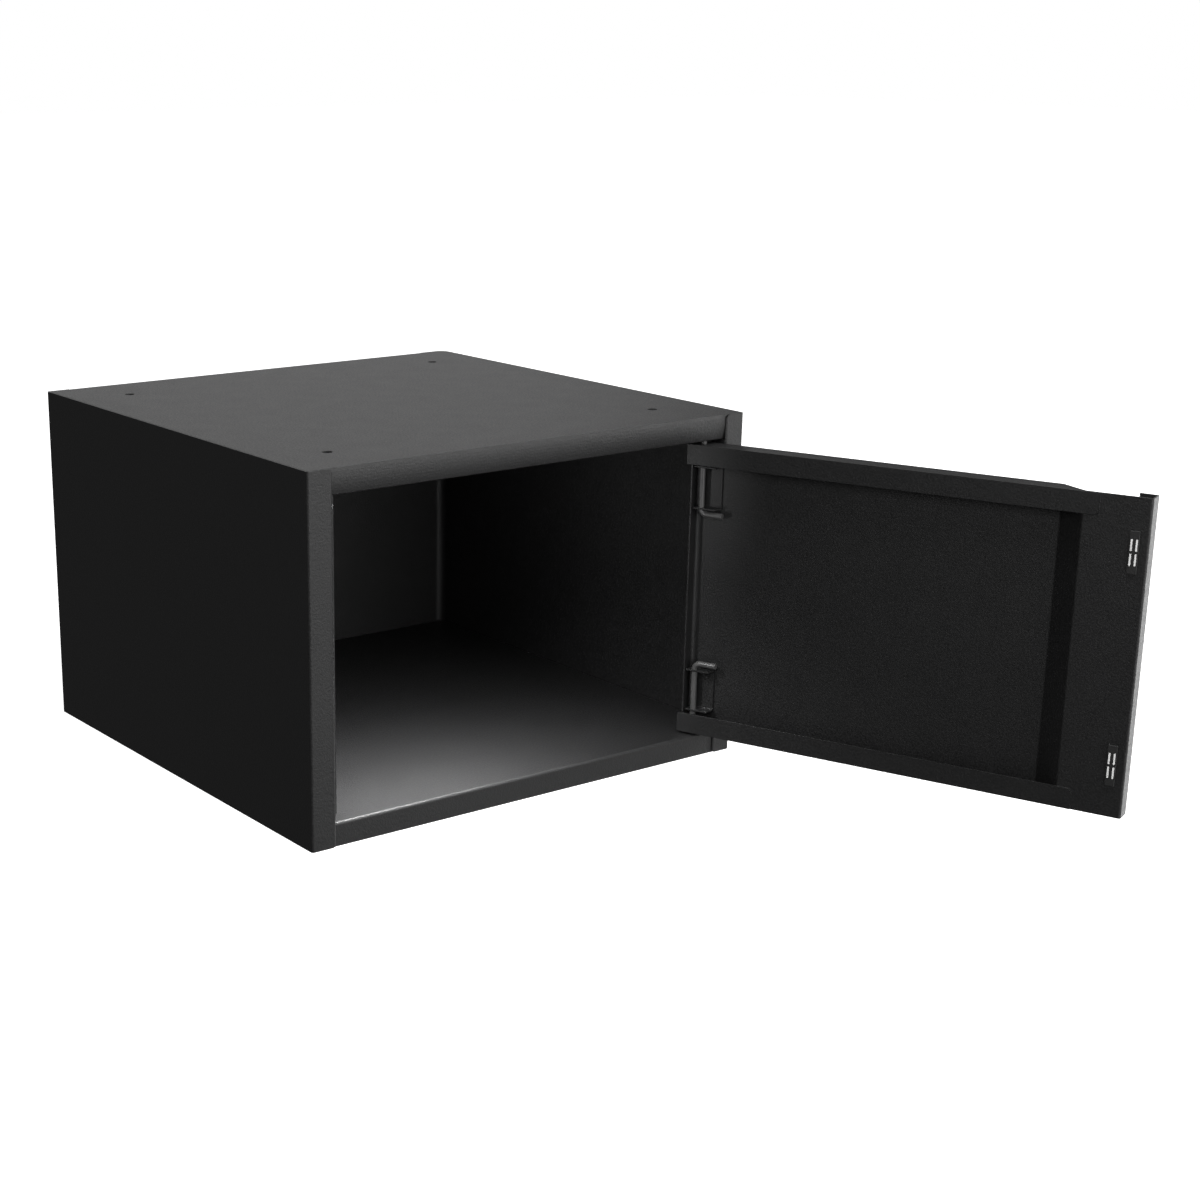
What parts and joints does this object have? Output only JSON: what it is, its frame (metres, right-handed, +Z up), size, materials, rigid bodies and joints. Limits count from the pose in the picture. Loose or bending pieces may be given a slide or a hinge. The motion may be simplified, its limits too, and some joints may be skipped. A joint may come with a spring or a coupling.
{
  "type": "steel storage cabinet",
  "caption": "Low square steel storage cabinet, open inside, with one inset door that swings on pull-out hinge pins and shuts with magnetic catches.",
  "frame": {"origin": "centre of the top panel's upper face", "axes": "+X to the right seen from the front, +Y from the front to the back, +Z up"},
  "size_m": [0.5033, 0.7261, 0.2794],
  "materials": {
    "powder_coat": "fine-textured black powder coat",
    "pin_steel": "dull round steel rod",
    "catch_plastic": "black moulded plastic",
    "pole_steel": "bright plated steel",
    "ferrite": "dark grey ferrite magnet"
  },
  "bodies": {
    "cabinet": {"left_side_panel": "powder_coat", "right_side_panel": "powder_coat", "top_panel": "powder_coat", "floor_panel": "powder_coat", "back_panel": "powder_coat"},
    "door": {"door_panel": "powder_coat", "upper_hinge_bracket": "powder_coat", "lower_hinge_bracket": "powder_coat", "upper_catch_housing": "catch_plastic", "lower_catch_housing": "catch_plastic", "upper_catch_upper_inner_pole": "pole_steel", "upper_catch_upper_outer_pole": "pole_steel", "upper_catch_lower_inner_pole": "pole_steel", "upper_catch_lower_outer_pole": "pole_steel", "lower_catch_upper_inner_pole": "pole_steel", "lower_catch_upper_outer_pole": "pole_steel", "lower_catch_lower_inner_pole": "pole_steel", "lower_catch_lower_outer_pole": "pole_steel", "upper_catch_upper_magnet": "ferrite", "upper_catch_lower_magnet": "ferrite", "lower_catch_upper_magnet": "ferrite", "lower_catch_lower_magnet": "ferrite"},
    "upper_pin": {"upper_hinge_pin": "pin_steel"},
    "lower_pin": {"lower_hinge_pin": "pin_steel"}
  },
  "joints": [
    {"name": "door_hinge", "type": "hinge", "parent": "cabinet", "child": "door", "pos_m": [0.1694, -0.1944, -0.14], "axis": [0, 0, 1], "range_deg": [-110.7, 9]},
    {"name": "upper_pin_slide", "type": "slide", "parent": "door", "child": "upper_pin", "axis": [0, 0, -1], "range_m": [0, 0.01]},
    {"name": "lower_pin_slide", "type": "slide", "parent": "door", "child": "lower_pin", "axis": [0, 0, 1], "range_m": [0, 0.01]}
  ]
}
